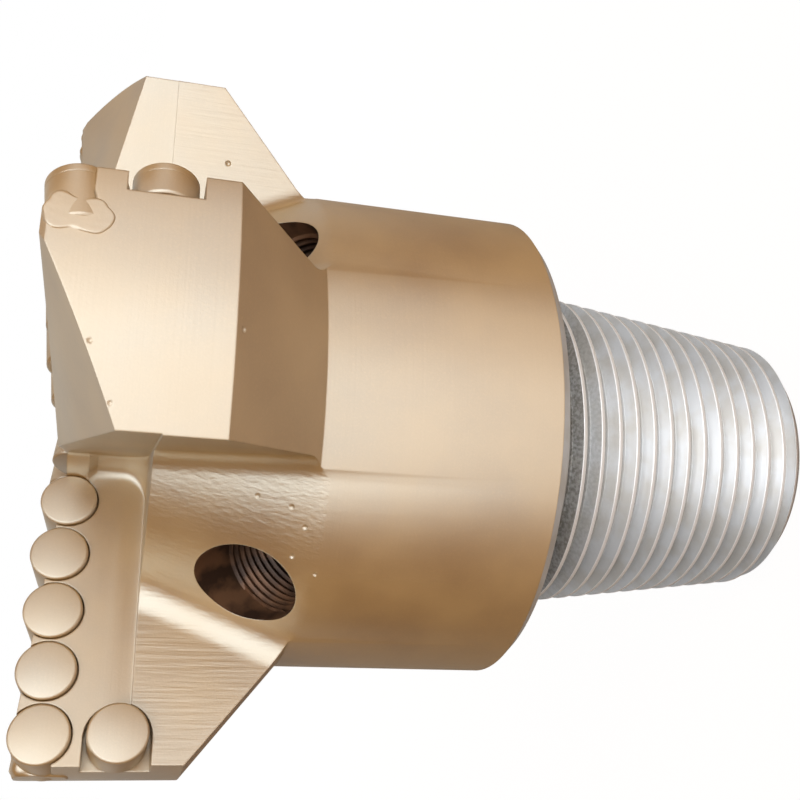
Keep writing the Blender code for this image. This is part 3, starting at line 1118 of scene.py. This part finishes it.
    def front_slots(self) -> bmesh.types.BMesh:
        """The deep front passes, with the rounded groove round the hub.

        Returns:
            The first of them.
        """
        groove = self.groove / 2
        hub = self.hub / 2
        levels = []
        for i in range(self.fine + 1):
            turn = math.pi / 2 * i / self.fine
            levels.append((
                self.step() + self.groove_fillet * (1 - math.cos(turn)),
                groove + self.groove_fillet * (1 - math.sin(turn)),
            ))
        end = self.step() + self.groove_length
        levels += [(end, groove), (end + hub - groove, hub), (self.bit.nose + self.overrun, hub)]
        fillets = (self.hub_fillet, self.hub_fillet)
        thickness = self.hub_thickness - self.trail_step
        return lofted([
            (self.bit.over(height), self.slot_section(floor, 0.0, thickness, fillets))
            for height, floor in levels
        ])

    def reliefs(self) -> bmesh.types.BMesh:
        """The sloping cuts that clear the nose behind the cutters.

        Returns:
            The first of them.
        """
        reach = self.bit.gauge / 2 + self.overrun
        bm = block((self.relief_start, -reach, 0.0), (reach, 0.0, self.overrun * 2))
        bm.transform(Matrix.Rotation(self.relief_angle, 4, "X"))
        bm.transform(Matrix.Translation((0.0, -self.land, self.bit.over(self.bit.nose))))
        return bm

    def corner_cuts(self) -> bmesh.types.BMesh:
        """The corners milled away round the outermost cutters, so that they stand free.

        Returns:
            The first of them.
        """
        seat = self.cutters.centre(1, CutterKind.NOSE, 1)
        low = seat.z - self.corner_below
        return block(
            (seat.x, -self.corner_depth, low),
            (seat.x + self.overrun, self.overrun, self.bit.over(self.bit.nose) + self.overrun),
        )

    def notches(self) -> bmesh.types.BMesh:
        """The notches of the gauge cutters, open at the outside.

        Returns:
            The first of them.
        """
        seat = self.cutters.centre(1, CutterKind.GAUGE)
        half = self.cutters.radius + self.notch_room
        back = seat.y - self.cutters.gauge_length / 2 - self.seat_gap
        middle = Vector((seat.x, -seat.z))
        outline = arc(middle, half, math.pi / 2, math.pi * 3 / 2, self.fine * 3)
        outline += [middle + Vector((self.overrun, side * half)) for side in (-1, 1)]
        bm = lofted([(back, outline), (self.overrun, outline)])
        bm.transform(Matrix.Rotation(-math.pi / 2, 4, "X"))
        return bm

    def pockets(self) -> bmesh.types.BMesh:
        """Round seats of the nose cutters, open to the front.

        Returns:
            All of them.
        """
        cutters = self.cutters
        bm = bmesh.new()
        radius = cutters.radius + self.seat_gap
        back = -cutters.nose_length / 2 - self.seat_gap
        front = cutters.nose_length / 2 + cutters.radius
        shift = Matrix.Translation((0.0, 0.0, (front + back) / 2))
        for wing in range(1, self.bit.wings + 1):
            for number in cutters.numbers(wing):
                made = bmesh.ops.create_cone(
                    bm, cap_ends=True, segments=cutters.facets, radius1=radius, radius2=radius,
                    depth=front - back,
                )["verts"]
                seat = cutters.place(wing, CutterKind.NOSE, number)
                bmesh.ops.transform(bm, matrix=seat @ shift, verts=made)
        return bm

    def trough(self, wing: int) -> bmesh.types.BMesh:
        """Room in front of an innermost cutter, out of the root of the wing ahead.

        Args:
            wing: Number of the cutter's wing.

        Returns:
            The trough.
        """
        cutters = self.cutters
        number = cutters.numbers(wing)[-1]
        turn = self.bit.wing_turn(wing)
        tip = Vector((0.0, 0.0, cutters.nose_length / 2))
        face = turn.inverted() @ cutters.place(wing, CutterKind.NOSE, number) @ tip
        reach = cutters.radius + self.seat_gap
        middle = Vector((face.x, -face.z))
        side = -self.trough_side
        outline = [middle + Vector((reach, -self.overrun))]
        outline += arc(middle, reach, 0.0, math.pi / 2, self.fine)
        outline += [Vector((side, middle.y + reach)), Vector((side, middle.y - self.overrun))]
        bm = lofted([(face.y - self.seat_gap, outline), (self.trough_end, outline)])
        bm.transform(turn @ Matrix.Rotation(-math.pi / 2, 4, "X"))
        return bm

    def nozzle_place(self) -> Matrix:
        """Frame of the first nozzle.

        Returns:
            Its origin on the slot's floor, its Z pointing out.
        """
        height = self.bit.shank_length + self.nozzle_above_shank
        on_floor = Matrix.Translation((self.slot_floor(height), 0.0, self.bit.over(height)))
        lean = Matrix.Rotation(math.pi / 2 - self.nozzle_tilt, 4, "Y")
        return Matrix.Rotation(self.nozzle_azimuth, 4, "Z") @ on_floor @ lean

    def socket_fade(self, height: float) -> float:
        """Full thread up to the socket's plain mouth."""
        return 1.0 if height < self.nozzle_depth - self.nozzle_clear else 0.0

    def sockets(self) -> bmesh.types.BMesh:
        """The nozzle sockets: tapped at the bottom, with a plain mouth.

        Returns:
            The first of them.
        """
        length = self.nozzle_depth + self.overrun
        bm = SOCKET_THREAD.rod(length, lambda height: self.nozzle / 2, self.socket_fade)
        bm.transform(self.nozzle_place() @ Matrix.Translation((0.0, 0.0, -self.nozzle_depth)))
        return bm

    def passages(self) -> bmesh.types.BMesh:
        """The passages from the bore to the nozzle sockets.

        Returns:
            The first of them.
        """
        place = self.nozzle_place()
        run = place.translation.xy.length - self.passage_end
        inner = -run / math.sin(math.pi / 2 - self.nozzle_tilt)
        outer = -self.nozzle_depth + self.seat_gap
        radius = self.passage / 2
        bm = bmesh.new()
        bmesh.ops.create_cone(
            bm, cap_ends=True, segments=self.fine * 4, radius1=radius, radius2=radius,
            depth=outer - inner,
        )
        bm.transform(place @ Matrix.Translation((0.0, 0.0, (outer + inner) / 2)))
        return bm

    def dents(self) -> bmesh.types.BMesh:
        """Small knocks and pits on the gauge faces and slot floors.

        Returns:
            Balls that cut all of them.
        """
        bm = bmesh.new()
        for x, y, z in self.dent_places:
            place = Vector((x, y, 0.0)) * MM
            place += place.normalized() * self.dent_lift + Vector(AXIS) * z * MM
            made = bmesh.ops.create_icosphere(
                bm, subdivisions=self.dent_subdivisions, radius=self.dent_size
            )["verts"]
            bmesh.ops.translate(bm, vec=place, verts=made)
        return bm

    def tools(self) -> list[bpy.types.Mesh]:
        """Every tool that cuts the blank, in the order of the cuts.

        Returns:
            The tools, with the finish that each leaves.
        """
        repeated = {
            "rear_slots": self.rear_slots(),
            "front_slots": self.front_slots(),
            "reliefs": self.reliefs(),
            "corner_cuts": self.corner_cuts(),
            "notches": self.notches(),
            "sockets": self.sockets(),
            "passages": self.passages(),
        }
        tools = []
        for name, bm in repeated.items():
            turn_copies(bm, self.bit.wings)
            for face in bm.faces:
                face.material_index = self.skins.get(name, Skin.PAINT).value
            tools.append(to_mesh(bm, name))
        tools.append(to_mesh(self.pockets(), "pockets"))
        tools.append(to_mesh(self.dents(), "dents"))
        tools += [to_mesh(self.trough(wing), "trough") for wing in self.cutters.long_wings]
        return tools

    def build(self, skins: Sequence[bpy.types.Material]) -> bpy.types.Object:
        """Turn the blank, mill it and dress it.

        Args:
            skins: Its materials, in the order of Skin.

        Returns:
            The crown.
        """
        tools = self.tools()
        blank = to_mesh(turned(self.profile(), self.facets), "crown")
        for skin in skins:
            blank.materials.append(skin)
        mesh = milled(blank, tools)
        painted = self.bit.over(self.bit.edge_chamfer)
        for face in mesh.polygons:
            if face.center.z < painted:
                face.material_index = Skin.STEEL.value
        return finish_piece("crown", mesh, Slot.BODY, (), "bit_body")


@dataclass
class ThreadedPin:
    """The tapered pin: a rotary shouldered thread that runs out at a plain band."""

    bit: Bit
    band: float = 7.5 * MM
    fade_length: float = 1.6 * MM
    end_chamfer: float = 3.5 * MM
    groove_from_shoulder: float = 2.6 * MM
    groove_half: float = 1.3 * MM
    groove_depth: float = 0.35 * MM
    proud: float = 1.0 * MM
    facets: int = 192

    def fade(self, height: float) -> float:
        """The thread runs out where the plain band at the base begins."""
        left = (self.bit.pin_length - self.band - height) / self.fade_length + 1
        return min(1.0, max(0.0, left))

    def envelope(self) -> bmesh.types.BMesh:
        """The turned outline that trims the thread, with the bore and the relief groove.

        Returns:
            The closed ring that holds the whole pin.
        """
        bit = self.bit
        bore = bit.bore / 2
        base = bit.pin_radius(bit.pin_length)
        end = bit.pin_radius(self.end_chamfer)
        groove = bit.pin_length - self.groove_from_shoulder
        return turned([
            (bore, 0.0),
            (bore, bit.pin_length),
            (base + self.proud, bit.pin_length),
            (base + self.proud, groove + self.groove_half),
            (base - self.groove_depth, groove),
            (base + self.proud, groove - self.groove_half),
            (end + self.proud, self.end_chamfer + self.proud),
            (end - self.end_chamfer, 0.0),
            (bore, 0.0),
        ], self.facets)

    def build(self, steel: bpy.types.Material) -> bpy.types.Object:
        """Wind the thread, trim it and dress it.

        Args:
            steel: Its material.

        Returns:
            The pin.
        """
        rod = PIN_THREAD.rod(self.bit.pin_length, self.bit.pin_radius, self.fade)
        trim = to_mesh(self.envelope(), "envelope")
        mesh = milled(to_mesh(rod, "rod"), [trim], Cut.COMMON)
        return finish_piece("threaded_pin", mesh, Slot.BODY, [steel], "bit_body")


@dataclass
class WeldBeads:
    """Weld metal at the foot of each outermost cutter.

    A mass of drops fills the corner behind the post on every wing, and two wings have a
    smaller lump beside it. The drops are melted together and dressed down to the gauge.
    """

    bit: Bit
    limit: float = 88.99 * MM
    mass_low: Point = (80.5 * MM, -13.6 * MM, 185.2 * MM)
    mass_high: Point = (87.2 * MM, -8.6 * MM, 194.2 * MM)
    mass_blobs: int = 280
    mass_size: float = 2.6 * MM
    lump_low: Point = (83.4 * MM, -5.0 * MM, 182.6 * MM)
    lump_high: Point = (87.0 * MM, -0.6 * MM, 187.0 * MM)
    lump_blobs: int = 60
    lump_size: float = 1.7 * MM
    lump_wings: tuple[int, ...] = (2, 4)
    least_share: float = 0.7
    most_share: float = 1.1
    blob_subdivisions: int = 2
    voxel: float = 0.35 * MM
    settle_factor: float = 0.5
    settle_rounds: int = 24
    seed: int = 11

    def blob(self, bm: bmesh.types.BMesh, place: Vector, size: float) -> None:
        """Add one drop of weld metal."""
        made = bmesh.ops.create_icosphere(bm, subdivisions=self.blob_subdivisions, radius=size)
        bmesh.ops.translate(bm, vec=place, verts=made["verts"])

    def drops(self, chance: random.Random, wing: int) -> bpy.types.Mesh:
        """All the drops of one wing.

        Args:
            chance: Source of the random places and sizes.
            wing: Number of the wing.

        Returns:
            The drops, still separate.
        """
        bm = bmesh.new()
        heaps = [(self.mass_low, self.mass_high, self.mass_blobs, self.mass_size)]
        if wing in self.lump_wings:
            heaps.append((self.lump_low, self.lump_high, self.lump_blobs, self.lump_size))
        for low, high, count, size in heaps:
            for _ in range(count):
                place = Vector([chance.uniform(a, b) for a, b in zip(low, high)])
                self.blob(bm, place, size * chance.uniform(self.least_share, self.most_share))
        bm.transform(self.bit.wing_turn(wing))
        mesh = bpy.data.meshes.new("drops")
        bm.to_mesh(mesh)
        bm.free()
        return mesh

    def melted(self, mesh: bpy.types.Mesh) -> bpy.types.Mesh:
        """Melt separate drops into one smooth skin.

        Args:
            mesh: The drops.

        Returns:
            The skin.
        """
        body = bpy.data.objects.new("drops", mesh)
        bpy.context.scene.collection.objects.link(body)
        melt = body.modifiers.new("melt", "REMESH")
        melt.mode = "VOXEL"
        melt.voxel_size = self.voxel
        settle = body.modifiers.new("settle", "SMOOTH")
        settle.factor = self.settle_factor
        settle.iterations = self.settle_rounds
        skin = applied(body)
        bpy.data.objects.remove(body, do_unlink=True)
        return skin

    def build(self, paint: bpy.types.Material) -> bpy.types.Object:
        """Weld every wing, dress the metal down to the gauge and paint it.

        Args:
            paint: Its material.

        Returns:
            The beads.
        """
        chance = random.Random(self.seed)
        whole = bmesh.new()
        for wing in range(1, self.bit.wings + 1):
            whole.from_mesh(self.drops(chance, wing))
        drops = bpy.data.meshes.new("drops")
        whole.to_mesh(drops)
        whole.free()
        mesh = self.melted(drops)
        for vert in mesh.vertices:
            vert.co.xy *= min(1.0, self.limit / vert.co.xy.length)
        return finish_piece("weld_beads", mesh, Slot.BODY, [paint])


@dataclass(frozen=True)
class Lamp:
    """A round soft lamp, aimed from angles to the right of the camera and above it."""

    name: str
    aside: float
    above: float
    half_angle: float
    radiance: float


@dataclass
class Studio:
    """Plain floor, soft light from the camera's side, and the photograph's camera."""

    lens: float = 48.606
    sensor: float = 36.0
    camera_place: Point = (-0.1543, -0.2440, 0.1792)
    azimuth: float = math.radians(-34.41)
    elevation: float = math.radians(14.39)
    roll: float = math.radians(-85.13)
    floor_size: float = 30.0
    lamp_distance: float = 1.2
    lamps: tuple[Lamp, ...] = (
        Lamp("soft_key", math.radians(-12.0), math.radians(5.0), math.radians(35.0), 3.1),
        Lamp("soft_top", 0.0, math.radians(50.0), math.radians(25.0), 1.8),
    )
    room: str = "3A3028"
    backdrop: str = "FFFFFF"
    room_light: float = 1.2
    white: float = 1.0

    def view(self) -> Matrix:
        """The camera's own axes.

        Returns:
            Right, up and back towards the viewer, as columns.
        """
        a, e, r = self.azimuth, self.elevation, self.roll
        back = Vector((math.sin(a) * math.cos(e), -math.cos(a) * math.cos(e), math.sin(e)))
        level = Vector((math.cos(a), math.sin(a), 0.0))
        right = level * math.cos(r) + back.cross(level) * math.sin(r)
        return Matrix((right, back.cross(right), back)).transposed()

    def set_camera(self) -> None:
        """Put the camera where the photograph was taken from."""
        data = bpy.data.cameras.new("camera")
        data.lens = self.lens
        data.sensor_width = self.sensor
        camera = bpy.data.objects.new("camera", data)
        camera.matrix_world = Matrix.Translation(self.camera_place) @ self.view().to_4x4()
        bpy.context.scene.collection.objects.link(camera)
        bpy.context.scene.camera = camera

    def hang_lamps(self) -> None:
        """Hang the soft lamps on the camera's side.

        A disc of area A with radiance L, seen square on, gives L times A times pi watts.
        """
        middle = sum(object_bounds(), Vector()) / 2
        for lamp in self.lamps:
            flat = math.cos(lamp.above)
            towards = self.view() @ Vector(
                (math.sin(lamp.aside) * flat, math.sin(lamp.above), math.cos(lamp.aside) * flat)
            )
            radius = self.lamp_distance * math.tan(lamp.half_angle)
            data = bpy.data.lights.new(lamp.name, "AREA")
            data.shape = "DISK"
            data.size = radius * 2
            data.energy = lamp.radiance * math.pi * math.pi * radius ** 2
            light = bpy.data.objects.new(lamp.name, data)
            light.matrix_world = Matrix.Translation(middle + towards * self.lamp_distance) @ (
                towards.to_track_quat("Z", "Y").to_matrix().to_4x4()
            )
            bpy.context.scene.collection.objects.link(light)

    def set_world(self) -> None:
        """A white backdrop behind the bit, and a dim room on the camera's side."""
        world = bpy.data.worlds.new("studio")
        world.use_nodes = True
        bpy.context.scene.world = world
        tree = world.node_tree
        direction = add(tree, "TexCoord").outputs["Generated"]
        away = self.view() @ Vector((0.0, 0.0, -1.0))
        behind = add(
            tree, "VectorMath", {"operation": "DOT_PRODUCT"}, in_0=direction, in_1=away
        )
        tone = add(
            tree, "Mix", {"data_type": "RGBA"}, Factor=behind.outputs["Value"],
            in_6=linear(self.room), in_7=linear(self.backdrop),
        )
        studio = add(tree, "Background", Color=tone.outputs[2], Strength=self.room_light)
        white = add(tree, "Background", Color=WHITE, Strength=self.white)
        seen = add(tree, "LightPath").outputs["Is Camera Ray"]
        mixed = add(
            tree, "MixShader", in_0=seen, in_1=studio.outputs[0], in_2=white.outputs[0]
        )
        tree.links.new(mixed.outputs[0], tree.nodes["World Output"].inputs["Surface"])

    def lay_floor(self) -> None:
        """Lay the floor that the bit stands on."""
        bm = bmesh.new()
        bmesh.ops.create_grid(bm, x_segments=1, y_segments=1, size=self.floor_size / 2)
        mesh = to_mesh(bm, "floor")
        mesh.materials.append(FloorPaper().build())
        floor = bpy.data.objects.new("floor", mesh)
        bpy.context.scene.collection.objects.link(floor)
        floor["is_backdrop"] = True

    def build(self) -> None:
        """Set up the camera, the light and the floor."""
        self.set_camera()
        self.hang_lamps()
        self.set_world()
        self.lay_floor()
        bpy.context.scene.view_settings.view_transform = "Standard"


def main() -> None:
    """Build and dress the bit, then the studio."""
    logging.basicConfig(level=logging.INFO, format="%(message)s")
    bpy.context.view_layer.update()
    bit = Bit()
    cutters = CutterSet(bit)
    paint = GoldPaint().build()
    milled_paint = GoldPaint("paint_over_milling_marks", Marks.MILLED).build()
    # Paint over weld metal is lumpier: it follows the ripples of the bead.
    weld_paint = GoldPaint(
        "paint_over_weld", grain_size=1.6 * MM, grain_height=0.06 * MM
    ).build()
    skins = (paint, TurnedSteel().build(), SocketSteel().build(), milled_paint)
    Crown(bit, cutters).build(skins)
    ThreadedPin(bit).build(ThreadSteel().build())
    WeldBeads(bit).build(weld_paint)
    cutters.build(paint)
    Studio().build()


if __name__ == "__main__":
    main()
